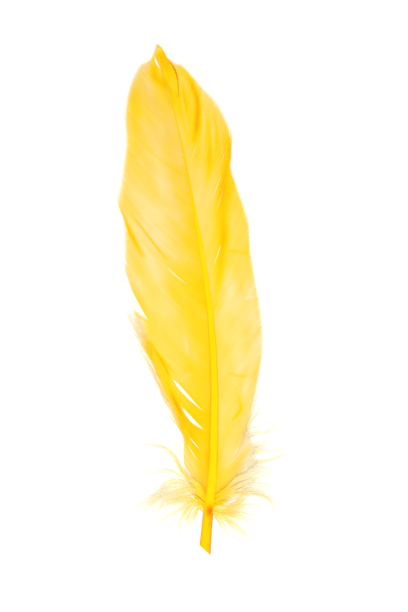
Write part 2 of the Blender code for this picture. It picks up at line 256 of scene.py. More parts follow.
RIGHT_WISPS = (
    (38, ((20.0, 51.0), (31.3, 66.9), (34.7, 71.4), (39.4, 75.8)), 16, 0.8, 16),
    (37, ((20.0, 48.0), (30.7, 62.6), (38.0, 64.4), (45.5, 66.5)), 26, 1.1, 32),
    (36, ((19.0, 45.0), (28.0, 54.3), (34.4, 56.6), (40.9, 58.6), (44.5, 61.4)), 19, 1.0, 32),
    (35, ((19.0, 43.0), (28.3, 51.1), (35.4, 53.3), (42.4, 53.3), (49.3, 54.3)), 20, 1.0, 32),
    (34, ((18.0, 39.0), (28.5, 46.7), (36.6, 46.3), (43.1, 47.6), (49.3, 49.8)), 20, 0.9, 32),
    (33, ((17.0, 36.0), (25.7, 42.8), (32.0, 43.8), (37.6, 42.3), (43.8, 40.8)), 19, 1.0, 27),
    (30, ((16.0, 34.0), (22.3, 38.5), (28.6, 38.9), (34.9, 38.3), (40.8, 38.2)), 14, 0.9, 21),
    (30, ((15.0, 32.0), (23.7, 34.8), (32.6, 35.8), (38.6, 32.4), (43.9, 28.1)), 16, 1.0, 24),
    (28, ((14.0, 30.0), (22.7, 31.2), (30.7, 30.0), (38.3, 26.2), (42.4, 16.2)), 14, 0.8, 16),
    (27, ((13.0, 29.2), (22.4, 29.8), (31.9, 28.6), (39.7, 24.0), (47.3, 17.9)), 12, 0.7, 0),
    (25, ((11.0, 25.2), (17.0, 24.0), (21.5, 26.5), (25.0, 30.5), (31.0, 33.0)), 10, 1.1, 13),
    (25, ((10.6, 24.2), (16.0, 23.4), (21.5, 25.0), (27.0, 28.0), (35.0, 26.5)), 10, 1.0, 21),
    (24, ((10.2, 22.5), (15.0, 22.0), (21.3, 23.2), (27.9, 23.5), (33.8, 22.7)), 10, 0.8, 19),
    (23, ((9.5, 21.5), (15.0, 20.6), (22.0, 20.1), (29.7, 18.3)), 12, 0.9, 21),
    (22, ((9.2, 20.9), (14.4, 19.0), (21.6, 17.1), (29.2, 13.2)), 14, 0.9, 16),
    (22, ((8.7, 20.4), (13.5, 16.6), (19.8, 10.2), (26.1, 2.6)), 16, 0.9, 6),
    (22, ((8.2, 19.4), (10.7, 15.1), (13.3, 9.8), (15.1, 6.1)), 7, 0.7, 0),
    (22, ((7.7, 19.9), (8.7, 16.6), (9.9, 12.3)), 4, 0.6, 0),
)
DOWN_UNDER = 30.5  # down that starts higher up the feather than this passes under the vanes
UNDER_FROM = 0.55  # how far along it a wisp that grows up there is first made
DOWN_HEART = (5.5, 29.0)  # where it all grows from, and the dye lies deepest
HEART_SIZE = 10.0
DOWN_START = 3.4  # how high on the shaft it grows
WISP_HEIGHT, WISP_VARIES = 1.6, 1.2  # how high a wisp's end lies, and how much that varies
FIBRE_STEPS = 22
LOCKS = 4  # how many locks a wisp parts into
GROWS_AT = 0.42  # how far from the shaft's middle it grows, as a share of the shaft's width
LOCK_PARTING = 1.4  # how far a wisp's locks part at their ends, as a share of its spread
STRAYS, STRAY_PARTING = 0.22, 1.2  # the share of fibres that leave their lock, and how far
WAVER, TURNS = 0.42, (0.6, 3.2)  # how far a fibre sways, and how many times
LOCK_REACH = (0.74, 1.0)  # how far a lock reaches, as a share of the line it follows
FIBRE_REACH = (0.78, 1.0)  # and how far a fibre does, as a share of its lock's reach
FILL_START = (0.20, 0.50)  # where along its line a fibre between two wisps starts
FILL_LENGTH = (0.15, 0.35)
FILL_SPREAD = 0.6
FIBRE_WIDTH, STRAND_WIDTH = 0.24, 0.30
FIBRE_TAPER = 0.45
FIBRE_BARBULE, STRAND_BARBULE = 1.5, 0.6  # how long the longest barbules are
BARBULES = 56  # on each fibre or strand
BARBULE_FOOT = 0.028  # half a barbule's width where it grows
LOWEST = 0.05  # no fibre comes lower than this

# --- the camera and the light ------------------------------------------------------------

TURN = math.radians(5.41)  # how far the feather leans to the left
VIEW_CENTRE = (12.0, 134.9)
VIEW_HEIGHT = 338.0
CAMERA_LENS, CAMERA_SENSOR = 150.0, 36.0
FLOOR_GLOW, FLOOR_GREY = 0.75, 0.30
FLOOR_EDGE, FLOOR_LEVEL = 3.0, -0.0001  # half the floor's side, and its height, in metres
SKY_STRENGTH = 0.98
LAMP_AT = (0.12, -0.30, 0.78)
LAMP_SIZE, LAMP_ENERGY = 1.2, 3.6


def place(points):
    """Points in the feather's own millimetres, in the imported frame's metres."""
    return np.asarray(points, float) * MM + FOOT


def smooth(table, at):
    """The smooth curve through a table's rows, read at values of its first column."""
    rows = np.array(table, float)
    key, values = rows[:, 0], rows[:, 1:]
    slope = np.gradient(values, key, axis=0)
    at = np.asarray(at, float)
    i = np.clip(np.searchsorted(key, at, side="right") - 1, 0, len(key) - 2)
    step = (key[i + 1] - key[i])[..., None]
    t = (at - key[i])[..., None] / step
    near = (1 + 2 * t) * (1 - t) ** 2 * values[i] + t * (1 - t) ** 2 * step * slope[i]
    far = t * t * (3 - 2 * t) * values[i + 1] + t * t * (t - 1) * step * slope[i + 1]
    return near + far


def smooth_path(points, share):
    """Points a share of the way along a smooth line through the given ones."""
    knots = np.array(points, float)
    run = np.concatenate(((0.0,), np.cumsum(np.linalg.norm(np.diff(knots, axis=0), axis=1))))
    return smooth(np.column_stack((run / run[-1], knots)), share)


def rise(y):
    """How far the quill and the tip rise from the surface."""
    low = np.clip((FLAT_FROM - y) / FLAT_FROM, 0, None)
    high = np.clip((y - FLAT_TO) / (LENGTH - FLAT_TO), 0, None)
    return QUILL_RISE * low**2 + TIP_RISE * high**2


def soft_step(low, high, x):
    """From 0 where x is low to 1 where it is high, smoothly."""
    t = np.clip((x - low) / (high - low), 0, 1)
    return t * t * (3 - 2 * t)


def blotches(rng, u, v, size_u, size_v):
    """Smooth noise from -1 to 1 over u and v, with blotches of about that size."""
    i, j = u / size_u, v / size_v
    i, j = i - i.min(), j - j.min()
    grid = rng.uniform(-1, 1, (int(i.max()) + 2, int(j.max()) + 2))
    a, b = i.astype(int), j.astype(int)
    s, t = soft_step(0, 1, i - a), soft_step(0, 1, j - b)
    low = grid[a, b] * (1 - s) + grid[a + 1, b] * s
    high = grid[a, b + 1] * (1 - s) + grid[a + 1, b + 1] * s
    return low * (1 - t) + high * t


# --- meshes ------------------------------------------------------------------------------


def add_mesh(name, node, finish, points, faces, floats, charts):
    """A smooth mesh piece that stands for a CAD node.

    faces is a list of arrays, each of faces with the same number of corners. floats are
    numbers that the material reads, one a point, and charts each point's place in OFBake.
    """
    mesh = bpy.data.meshes.new(name)
    mesh.vertices.add(len(points))
    mesh.vertices.foreach_set("co", place(points).astype(np.float32).ravel())
    corners = np.concatenate([f.ravel() for f in faces]).astype(np.int32)
    sizes = np.concatenate([np.full(len(f), f.shape[1]) for f in faces])
    starts = np.concatenate(((0,), np.cumsum(sizes)[:-1])).astype(np.int32)
    mesh.loops.add(len(corners))
    mesh.loops.foreach_set("vertex_index", corners)
    mesh.polygons.add(len(sizes))
    mesh.polygons.foreach_set("loop_start", starts)
    mesh.update(calc_edges=True)
    for key, values in floats.items():
        layer = mesh.attributes.new(key, "FLOAT", "POINT")
        layer.data.foreach_set("value", np.asarray(values, np.float32).ravel())
    layer = mesh.uv_layers.new(name="OFBake")
    layer.data.foreach_set("uv", charts[corners].astype(np.float32).ravel())
    mesh.shade_smooth()
    mesh.materials.append(finish)
    piece = bpy.data.objects.new(name, mesh)
    bpy.context.scene.collection.objects.link(piece)
    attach(piece, "root")
    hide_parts(node)
    return piece


def across_of(centres):
    """The level direction square to each row of points, to its left."""
    along = np.gradient(centres, axis=-2)
    across = np.stack((-along[..., 1], along[..., 0], np.zeros_like(along[..., 0])), -1)
    return across / (np.linalg.norm(across, axis=-1, keepdims=True) + 1e-9)


def ribbons(centres, half, ridge, tilt):
    """Ribbons two faces wide along rows of points: their points and faces.

    ridge is how far the middle stands up and tilt how far one side does, both as a share
    of half the ribbon's width.
    """
    across = across_of(centres) * half[..., None]
    up = np.array((0.0, 0.0, 1.0)) * half[..., None]
    points = np.stack(
        (centres + across + up * tilt, centres + up * ridge, centres - across - up * tilt), 2
    )
    count, steps = centres.shape[:2]
    index = np.arange(count * steps * 3).reshape(count, steps, 3)
    a, b = index[:, :-1, :-1], index[:, 1:, :-1]
    c, d = index[:, 1:, 1:], index[:, :-1, 1:]
    return points.reshape(-1, 3), np.stack((a, d, c, b), -1).reshape(-1, 4)


def ribbon_charts(count, steps):
    """Places in OFBake for ribbons, one narrow strip each."""
    strip = (np.arange(count) + 0.5)[:, None, None] / count
    side = np.array((0.35, 0.0, -0.35))[None, None, :] / count
    along = (np.arange(steps) / (steps - 1) * 0.98 + 0.01)[None, :, None]
    u = np.broadcast_to(strip + side, (count, steps, 3))
    v = np.broadcast_to(along, (count, steps, 3))
    return np.stack((u, v), -1).reshape(-1, 2)


def thrice(values):
    """One value for each of a ribbon's three points across."""
    return np.repeat(values.reshape(-1), 3)


# --- the vanes ---------------------------------------------------------------------------


def barb_family(table, side, root, out):
    """x, y at a share of the way out along the barb that leaves the shaft at y = root."""
    tip_x, tip_y, sag = np.moveaxis(smooth(table, root), -1, 0)
    start_x = smooth(SHAFT_LINE, root)[..., 0] + side * smooth(BARB_BASE, root)[..., 0]
    length = np.hypot(tip_x - start_x, tip_y - root)
    bend_x = (start_x + tip_x) / 2
    bend_y = (root + tip_y) / 2 - sag * length
    a, b, c = (1 - out) ** 2, 2 * out * (1 - out), out * out
    return np.stack((a * start_x + b * bend_x + c * tip_x, a * root + b * bend_y + c * tip_y), -1)


def shifted_roots(roots, outs, slits, rng):
    """Where each barb lies in the family once slits, laps and its own small sway have moved it."""
    moved = np.array(roots)
    rising, falling = SLIT_SKEW
    peak = (rising / (rising + falling)) ** rising * (falling / (rising + falling)) ** falling
    for at, start, end, gap, reach in slits:
        inside = np.clip((outs - start) / (end - start), 0, 1)
        opening = gap / 2 * inside**rising * (1 - inside) ** falling / peak
        away = roots - at
        moved += np.sign(away) * opening * np.exp(-np.abs(away) / reach)
    at = roots.min() + 3.0
    while at < roots.max() - 3:
        gap = rng.uniform(*LAP_GAP)
        start = rng.uniform(*LAP_START)
        opening = gap / 2 * soft_step(start, start + 0.3, outs)
        away = roots - at
        moved += np.sign(away) * opening * np.exp(-np.abs(away) / LAP_REACH)
        at += rng.uniform(*LAP_EVERY)
    sway = rng.normal(0, 1, roots.shape[0])[:, None]
    moved += BARB_SWAY * sway * outs
    return np.clip(moved, roots.min(), roots.max())


def crease_depth(points, creases):
    """How deep in a crease each point is: the crease's own depth along its middle."""
    total = np.zeros(points.shape[:-1])
    share = np.linspace(0, 1, 40)
    for line, width, depth in creases:
        path = smooth_path(line, share)
        away = np.linalg.norm(points[..., None, :] - path, axis=-1)
        fade = np.sin(np.pi * np.clip(share[away.argmin(-1)], 0.06, 0.94)) ** 0.5
        here = depth * fade * np.exp(-((away.min(-1) / width) ** 2))
        total = np.where(np.abs(here) > np.abs(total), here, total)
    return total


def locks(root, rng, narrow, wide):
    """A number for each barb, the same for all that cling together."""
    edges = root[0] + np.cumsum(rng.uniform(narrow, wide, 600))
    which = np.searchsorted(edges, root)
    return rng.normal(0, 1, which.max() + 1)[which]


def spacing(at):
    """How far each barb lies from its neighbours, square to itself."""
    along = np.gradient(at, axis=1)
    along /= np.linalg.norm(along, axis=-1, keepdims=True)
    step = np.gradient(at, axis=0)
    return np.abs(along[..., 0] * step[..., 1] - along[..., 1] * step[..., 0])


def vane_height(root, y, out):
    """How high the vane lies: held by the shaft, dipping, and lifted in waves at its edge."""
    held = smooth(BARB_BASE, root)[..., 1]
    inner = np.clip(1 - out / VANE_DIP, 0, None) ** 2
    outer = np.clip((out - VANE_DIP) / (1 - VANE_DIP), 0, None) ** 2
    lift = EDGE_LIFT + EDGE_WAVE * np.sin(2 * np.pi * y / WAVE_LENGTH)
    return VANE_THICK / 2 + rise(y) + held * inner + lift * outer


def vane(name, node, table, side, dye, slits, creases, frays, painted_shades, finish, seed):
    """One vane, barb by barb; side is -1 for the left one and 1 for the right one."""
    rng = np.random.default_rng(seed)
    first, last = table[0][0], table[-1][0]
    count = int((last - first) / BARB_PITCH)
    root = np.linspace(first, last, count)
    share = np.linspace(0, 1, BARB_STEPS + 1)
    roots, outs = np.meshgrid(root, share, indexing="ij")
    lock = locks(root, rng, *CLINGING)
    own = rng.normal(0, 1, count)
    parted = np.zeros_like(outs)
    for start, end, edge, much in frays:
        zone = soft_step(start - 3, start + 3, root) * soft_step(end + 3, end - 3, root)
        parted += much * zone[:, None] * soft_step(edge, 1.0, outs)
    outs = outs * (1.015 + 0.007 * own + 0.03 * parted[:, -1] * (0.7 * lock + 0.5 * own))[:, None]
    plain = barb_family(table, side, roots, outs)
    moved = shifted_roots(roots, outs, slits, rng)
    flat = barb_family(table, side, moved, outs)
    if side < 0:
        opening = np.clip((outs - SPLIT_FROM) / (1 - SPLIT_FROM), 0, None) ** 1.2
        yielding = np.exp(-(((roots - SPLIT_ROOT) / SPLIT_REACH) ** 2))
        flat[..., 1] += np.sign(roots - SPLIT_ROOT) * SPLIT_WIDTH / 2 * opening * yielding

    even, real = spacing(plain), spacing(flat)
    freed = parted * (1.1 * lock + 0.35 * own)[:, None]
    flat = flat + across_of(np.dstack((flat, 0 * outs)))[..., :2] * freed[..., None]
    half = BARB_LAP * even / 2 * (1 - 0.85 * soft_step(0.955, 1.015, outs))
    half *= 1 - 0.7 * np.clip(parted, 0, 1)
    lapped = np.clip(even / np.maximum(real, 0.02) - 1, -0.5, 1.2)
    # Just above the split the barbs are drawn together by it, and don't lap.
    lapped *= 1 - soft_step(86, 90, roots) * soft_step(112, 100, roots)
    crease = crease_depth(flat, creases)
    z = vane_height(roots, flat[..., 1], outs) + CREASE_RIDGE * np.maximum(crease, 0)
    z += 0.12 * parted * lock[:, None]

    depth = smooth(dye, flat[..., 1])
    near = np.clip(1 - outs / 0.5, 0, None)
    far = np.clip(outs / 0.5 - 1, 0, None)
    tone = near * depth[..., 0] + (1 - near - far) * depth[..., 1] + far * depth[..., 2]
    run = outs * BARB_RUN
    for much, along_vane, along_barb in DYE_BLOTCHES:
        tone += much * blotches(rng, roots, run, along_vane, along_barb)
    tone += 0.16 * np.tanh(lock)[:, None] * soft_step(48, 36, roots) * soft_step(0.15, 0.5, outs)
    paler = 0.16 * (1 + 0.8 * np.tanh(lock) + 0.5 * own)[:, None]
    tone -= paler * soft_step(0.93, 1.0, outs)
    # The creases add painted shade to the tone, over the doubled vane.
    tone += crease + 0.07 * lapped - 0.35 * np.clip(parted, 0, 1)

    # Painted shade: the vane is painted darker towards its tip, mottled.
    painted_shade = smooth(painted_shades, flat[..., 1])[..., 0] * (1 + 0.5 * blotches(rng, roots, run, 9.0, 12.0))

    centres = np.dstack((flat, z))
    points, faces = ribbons(centres, half, 0.16, 0.12)
    return add_mesh(
        name, node, finish, points, [faces],
        {"tone": thrice(tone), "painted_shade": thrice(painted_shade)}, ribbon_charts(count, BARB_STEPS + 1),
    )


# --- what lies on what -------------------------------------------------------------------

TOP_CELL = 0.5
TOP_LOW = (-60.0, -20.0)
TOP_COUNT = (240, 640)


def tops_of(pieces):
    """The highest point of the pieces over each small square of the surface below."""
    tops = np.zeros(TOP_COUNT)
    for piece in pieces:
        co = np.empty(len(piece.data.vertices) * 3, np.float32)
        piece.data.vertices.foreach_get("co", co)
        points = (co.reshape(-1, 3) - FOOT) / MM
        cell = ((points[:, :2] - TOP_LOW) / TOP_CELL).astype(int)
        np.maximum.at(tops, (cell[:, 0], cell[:, 1]), points[:, 2])
    for axis in (0, 1):
        tops = np.maximum(tops, np.maximum(np.roll(tops, 1, axis), np.roll(tops, -1, axis)))
    return tops


def top_at(tops, flat):
    """How high the pieces come at each point."""
    cell = ((flat - TOP_LOW) / TOP_CELL).astype(int)
    return tops[cell[..., 0], cell[..., 1]]


def smoothed(values, reach):
    """The rows of values, each averaged with its neighbours within reach."""
    padded = np.pad(values, ((0, 0), (reach, reach)), "edge")
    return np.stack([padded[:, k:k + values.shape[1]] for k in range(2 * reach + 1)]).mean(0)


# --- loose strands and down --------------------------------------------------------------


def strand_lines(points, count, spread, rng, begin=0.0, full=1.0):
    """Wavering copies of one line, drawn together into a few locks that part at their ends.

    Returns their points and, for each, the share of the way along.
    """
    lock = rng.integers(0, LOCKS, count)
    ends = full * (rng.uniform(*LOCK_REACH, LOCKS)[lock] * rng.uniform(*FIBRE_REACH, count))
    ends[: 1 + count // 4] = full
    share = begin + (ends - begin)[:, None] * np.linspace(0, 1, FIBRE_STEPS)
    middle = smooth_path(points, share)
    across = across_of(np.dstack((middle, 0 * share)))[..., :2]
    apart = np.clip(rng.normal(0, 1, count), -1.7, 1.7)[:, None]
    side = spread * apart * (0.40 + 0.60 * np.sin(np.pi * (0.05 + 0.93 * share**0.75)))
    side = side + spread * LOCK_PARTING * rng.normal(0, 1, LOCKS)[lock][:, None] * share**1.7
    stray = rng.normal(0, 1, count) * (rng.uniform(0, 1, count) < STRAYS)
    side = side + spread * STRAY_PARTING * stray[:, None] * share**2
    turns = rng.uniform(*TURNS, count)[:, None]
    phase = rng.uniform(0, 2 * np.pi, count)[:, None]
    side = side + WAVER * share * np.sin(2 * np.pi * turns * share + phase)
    return middle + across * side[..., None], share


def wisp_lines(wisps, side, rng):
    """Every fibre of one tuft of down: its points, how far along each is, and its end's height."""
    lines, shares, heights, guides = [], [], [], []
    for root, points, *_ in wisps:
        middle, width = smooth(SHAFT_LINE, root)[0], smooth(SHAFT_SIZE, root)[0]
        guides.append(((middle + side * GROWS_AT * width, root), *points))
    lifts = WISP_HEIGHT + WISP_VARIES * np.sin(np.arange(len(wisps) + 1) * 2.3)
    ends = np.linspace(0, 1, 8)
    for index, (root, _, count, spread, fill) in enumerate(wisps):
        begin = UNDER_FROM if root > DOWN_UNDER else 0.0
        flat, share = strand_lines(guides[index], count, spread, rng, begin)
        lines.append(flat)
        shares.append(share)
        heights.append(np.full(count, lifts[index]))
        for _ in range(fill):
            mix = rng.uniform(0, 1)
            here = smooth_path(guides[index], ends)
            there = smooth_path(guides[index + 1], ends)
            between = (1 - mix) * here + mix * there
            begin = rng.uniform(*FILL_START)
            full = begin + rng.uniform(*FILL_LENGTH)
            flat, share = strand_lines(between, 1, FILL_SPREAD, rng, begin, full)
            lines.append(flat)
            shares.append(share)
            heights.append(np.full(1, (1 - mix) * lifts[index] + mix * lifts[index + 1]))
    return np.concatenate(lines), np.concatenate(shares), np.concatenate(heights)


def fibres(name, node, finish, flat, share, z, width, tone, barbule, rng):
    """Thin tapering ribbons along rows of points, each fringed with barbules."""
    count, steps = share.shape
    along = np.linspace(0, 1, steps)[None, :]
    taper = (1 - FIBRE_TAPER * along**2) * (0.5 + 0.5 * np.minimum(along * 8, 1))
    half = width / 2 * taper * rng.uniform(0.7, 1.3, count)[:, None]
    centres = np.dstack((flat, z))
    points, quads = ribbons(centres, half, 0.22, 0.1)

    which = rng.integers(0, count, count * BARBULES)
    at = rng.uniform(0.12, 0.97, len(which)) * (steps - 1)
    low = at.astype(int)
    part = (at - low)[:, None]
    base = centres[which, low] * (1 - part) + centres[which, low + 1] * part
    ahead = centres[which, low + 1] - centres[which, low]
    ahead /= np.linalg.norm(ahead, axis=1, keepdims=True) + 1e-9
    sideways = across_of(centres)[which, low] * rng.choice((-1, 1), len(which))[:, None]
    long = barbule * rng.uniform(0.5, 1.0, len(which)) * (1 - 0.6 * (at / steps))
    lean = rng.uniform(0.5, 0.9, len(which))[:, None]
    drop = np.array((0.0, 0.0, 1.0)) * rng.normal(0, 0.25, len(which))[:, None]
    tip = base + (ahead * lean + sideways * (1.2 - lean) + drop) * long[:, None]
    foot = ahead * BARBULE_FOOT
    triangles = len(points) + np.arange(len(which) * 3).reshape(-1, 3)
    corners = np.stack((base - foot, base + foot, tip), 1).reshape(-1, 3)
    points = np.concatenate((points, corners))
    points[:, 2] = np.maximum(points[:, 2], LOWEST)
    strip = (which + 0.5) / count
    v = 0.01 + 0.94 * at / (steps - 1)
    u = np.stack((strip, strip + 0.2 / count, strip - 0.2 / count), 1)
    v = np.stack((v, v + 0.01, v + 0.03), 1)
    charts = np.concatenate((ribbon_charts(count, steps), np.stack((u, v), -1).reshape(-1, 2)))
    tones = np.concatenate((thrice(tone), np.repeat(tone[which, low], 3)))
    return add_mesh(
        name, node, finish, points, [quads, triangles], {"tone": tones}, charts
    )


def down(name, node, wisps, side, tops, finish, seed):
    """One tuft of down, part of it over the vane and part under."""
    rng = np.random.default_rng(seed)
    flat, share, height = wisp_lines(wisps, side, rng)
    count = len(share)
    start = rise(flat[:, :1, 1]) + DOWN_START
    end = height[:, None]
    z = start * (1 - share) ** 2.2 + end * share
    top = top_at(tops, flat)
    over = np.maximum(z, smoothed(top, 3) + 0.1) + rng.uniform(0.0, 0.5, count)[:, None]
    below = np.minimum(z, np.maximum(top - 0.5, LOWEST))
    under = smoothed(np.where(top > 0, below, z), 1)
    z = np.where(flat[:, :1, 1] > DOWN_UNDER, under, over)
    far = np.linalg.norm(flat - DOWN_HEART, axis=-1)
    tone = 0.24 * soft_step(32, 12, far) + 0.76 * np.exp(-((far / HEART_SIZE) ** 2))
    tone = tone + 0.26 * soft_step(36, 44, flat[..., 1]) * soft_step(40, 22, far) * (side < 0)
    tone = tone + 0.07 * rng.normal(0, 1, count)[:, None]
    return fibres(
        name, node, finish, flat, share, z, FIBRE_WIDTH, tone, FIBRE_BARBULE, rng
    )


def loose(name, node, strands, tops, finish, seed):
    """The strands that have come loose from a vane's edge and lie on it or beside it."""
    rng = np.random.default_rng(seed)
    flat, share, tone = [], [], []
    for points, count, spread, first, rest in strands:
        line, along = strand_lines(points, count, spread, rng)
        flat.append(line)
        share.append(along)
        tone.append(first + (rest - first) * soft_step(0.0, 0.5, along))
    flat, share, tone = (np.concatenate(part) for part in (flat, share, tone))
    count = len(share)
    floating = 0.6 + rise(flat[..., 1]) + 1.0 * share
    z = np.maximum(smoothed(top_at(tops, flat), 3), floating)
    z = z + rng.uniform(0.05, 0.45, count)[:, None]
    tone = tone + 0.05 * rng.normal(0, 1, count)[:, None]
    return fibres(
        name, node, finish, flat, share, z, STRAND_WIDTH, tone, STRAND_BARBULE, rng
    )


# --- the curl at the tip -----------------------------------------------------------------

CURL_LEFT = (
    (-0.5, 280.4), (-1.4, 276.5), (0.0, 271.8), (1.2, 267.1), (2.6, 262.0), (5.0, 256.9),
    (8.3, 251.0),
)
CURL_RIGHT = (
    (-0.2, 280.8), (2.0, 278.6), (4.9, 271.8), (7.5, 267.6), (8.9, 263.4), (9.3, 257.4),
    (8.6, 250.4),
)
CURL_BARBS, CURL_STEPS = 34, 44
CURL_LAP = 0.25  # how far its left side sinks into the vane and its right side stands clear
CURL_FULL = 0.15  # how far its middle stands up


def tip_curl(tops, finish, seed):
    """The end of the wide vane, curled over on to the inner side and lying down the shaft."""
    rng = np.random.default_rng(seed)
    down_it, across_it = np.linspace(0, 1, CURL_STEPS), np.linspace(0, 1, CURL_BARBS)
    left_side, right_side = smooth_path(CURL_LEFT, down_it), smooth_path(CURL_RIGHT, down_it)
    mix = across_it[:, None, None]
    flat = left_side[None] * (1 - mix) + right_side[None] * mix
    shares = np.broadcast_to(down_it, (CURL_BARBS, CURL_STEPS))
    sides = np.broadcast_to(across_it[:, None], (CURL_BARBS, CURL_STEPS))
    body = np.sin(np.pi * np.clip(0.15 + 0.8 * sides, 0, 1))
    body = body * np.sin(np.pi * np.clip(shares, 0.03, 0.97)) ** 0.5
    top = smoothed(top_at(tops, flat), 3)
    level = np.broadcast_to(top.max(0), top.shape)
    z = (1 - sides) * (top - CURL_LAP) + sides * (level + CURL_LAP) + CURL_FULL * body
    half = np.maximum(np.linalg.norm(np.gradient(flat, axis=0), axis=-1) * 0.85, 0.04)
    tone = 0.66 + 0.42 * soft_step(0.95, 0.25, shares) * (0.6 + 0.4 * sides)
    tone *= 0.2 + 0.8 * soft_step(0.06, 0.24, shares)
    tone += 0.08 * blotches(rng, sides * 6, shares * 30, 1.0, 8.0)
    # Painted shade: a dark line along the curl's folded right edge.
    tone += 0.9 * soft_step(0.90, 0.96, sides) * soft_step(0.30, 0.55, shares)
    points, faces = ribbons(np.dstack((flat, z)), half, 0.12, 0.1)
    return add_mesh(
        "tip_curl", "left_vane", finish, points, [faces],
        {"tone": thrice(tone)}, ribbon_charts(CURL_BARBS, CURL_STEPS),
    )


# --- the shaft ---------------------------------------------------------------------------

SHAFT_RINGS, SHAFT_SIDES = 300, 44
CUT_RINGS, HOLLOW_RINGS = 14, 8
PAST_END = 6.0  # how far the shaft runs on under the curl
GROOVE_DEPTH, GROOVE_WIDTH = 0.16, 0.19  # as shares of the shaft's height and width
PIT_AT, PIT_SIZE, PIT_DEPTH = (0.9, 22.4), (1.0, 1.5), 0.45  # where the vanes begin
BLOT_AT, BLOT_SIZE = (0.7, 22.8), (2.2, 3.4)  # the deeper dye about it
SPOT_AT, SPOT_SIZE = (1.2, 15.5), (1.0, 2.2)  # and lower on the quill


def mound(side, y, at, size):
    """1 at a place on the shaft, falling off smoothly over its size."""
    return np.exp(-(np.hypot((side - at[0]) / size[0], (y - at[1]) / size[1]) ** 2))


def shaft(finish):
    """The quill and rachis: a groove down its inner side, and a hollow, slanting cut end."""
    bottom = CUT_AT + HOLLOW_DEPTH
    inner = np.linspace(bottom, CUT_AT, HOLLOW_RINGS)
    cut = np.linspace(CUT_AT, bottom, CUT_RINGS)
    outer = np.concatenate((cut, np.linspace(bottom, SHAFT_END + PAST_END, SHAFT_RINGS)[1:]))
    y = np.concatenate((inner, outer))
    inset = np.concatenate((np.full(len(inner), QUILL_WALL), np.zeros(len(outer))))[:, None]
    turn = 2 * np.pi * np.arange(SHAFT_SIDES + 1) / SHAFT_SIDES
    middle = smooth(SHAFT_LINE, y)[:, 0]
    lean = smooth(SHAFT_LINE, y + 1)[:, 0] - middle
    size = smooth(SHAFT_SIZE, y)
    width, height = size[:, :1], size[:, 1:]
    side = (width / 2 - inset) * np.cos(turn)
    up = height / 2 + (height / 2 - inset) * np.sin(turn)
    ys = np.broadcast_to(y[:, None], side.shape)
    groove = GROOVE_DEPTH * height * soft_step(34, 60, ys) * soft_step(235, 190, ys)
    on_top = (np.sin(turn) > 0) * (inset < 0.01)
    up = up - groove * np.exp(-((side / (GROOVE_WIDTH * width)) ** 2)) * on_top
    up = up - PIT_DEPTH * mound(side, ys, PIT_AT, PIT_SIZE) * on_top
    up = np.maximum(up, SHAFT_FLAT * height + inset) - SHAFT_FLAT * height
    x = middle[:, None] + side / np.hypot(1, lean)[:, None]
    fade = np.clip(1 - (ys - CUT_AT) / HOLLOW_DEPTH, 0, 1)
    py = ys - side * lean[:, None] - CUT_SLANT * fade * side / width
    z = rise(ys) + up
    points = np.dstack((x, py, z)).reshape(-1, 3)
    count, around = side.shape
    index = np.arange(count * around).reshape(count, around)
    a, b, c, d = index[:-1, :-1], index[:-1, 1:], index[1:, 1:], index[1:, :-1]
    quads = np.stack((a, b, c, d), -1).reshape(-1, 4)
    charts = np.stack(np.broadcast_arrays(
        (np.arange(around) / (around - 1) * 0.96 + 0.02)[None, :],
        (np.arange(count) / (count - 1) * 0.98 + 0.01)[:, None],
    ), -1).reshape(-1, 2)
    share = side / (width / 2)
    quill = soft_step(30, 18, ys)
    # Painted shade: the rachis's sides are painted deeper orange than its top.
    side_shade = soft_step(0.55, 0.85, np.abs(share)) * soft_step(38, 52, ys)
    side_shade = side_shade * soft_step(165, 95, ys)
    # Painted shade: the quill deeper orange towards its right side.
    tone = 0.30 + 0.36 * side_shade + quill * (0.18 + 0.24 * soft_step(-0.2, 0.9, share))
    # Painted highlight: a paler streak down the quill's left side.
    tone -= quill * 0.08 * np.exp(-(((share + 0.45) / 0.11) ** 2))
    # Painted shade: the quill's edges deeper orange.
    tone += 0.40 * soft_step(24, 14, ys) * soft_step(0.60, 0.95, np.abs(share))
    tone += 0.95 * mound(side, ys, BLOT_AT, BLOT_SIZE)
    tone += 0.25 * mound(side, ys, SPOT_AT, SPOT_SIZE)
    tone += 0.26 * soft_step(170, 215, ys)
    tone = np.where(inset > 0.01, 0.9, tone)
    return add_mesh(
        "quill_and_rachis", "shaft", finish, points, [quads],
        {"tone": tone.ravel()}, charts,
    )


# --- materials ---------------------------------------------------------------------------


def paint(colour, lit):
    """The paint that shows as this colour, from 0 to 255, where white would show lit times white.

    A red past 255 stays full where less light falls.
    """
    linear = [min(((c / 255 + 0.055) / 1.055) ** 2.4 / lit, 0.98) for c in colour]
    return (*linear, 1.0)


def new_material(name):
    """An empty material, with its nodes and links."""
    made = bpy.data.materials.new(name)
    made.use_nodes = True
    made.node_tree.nodes.clear()
    return made, made.node_tree.nodes, made.node_tree.links


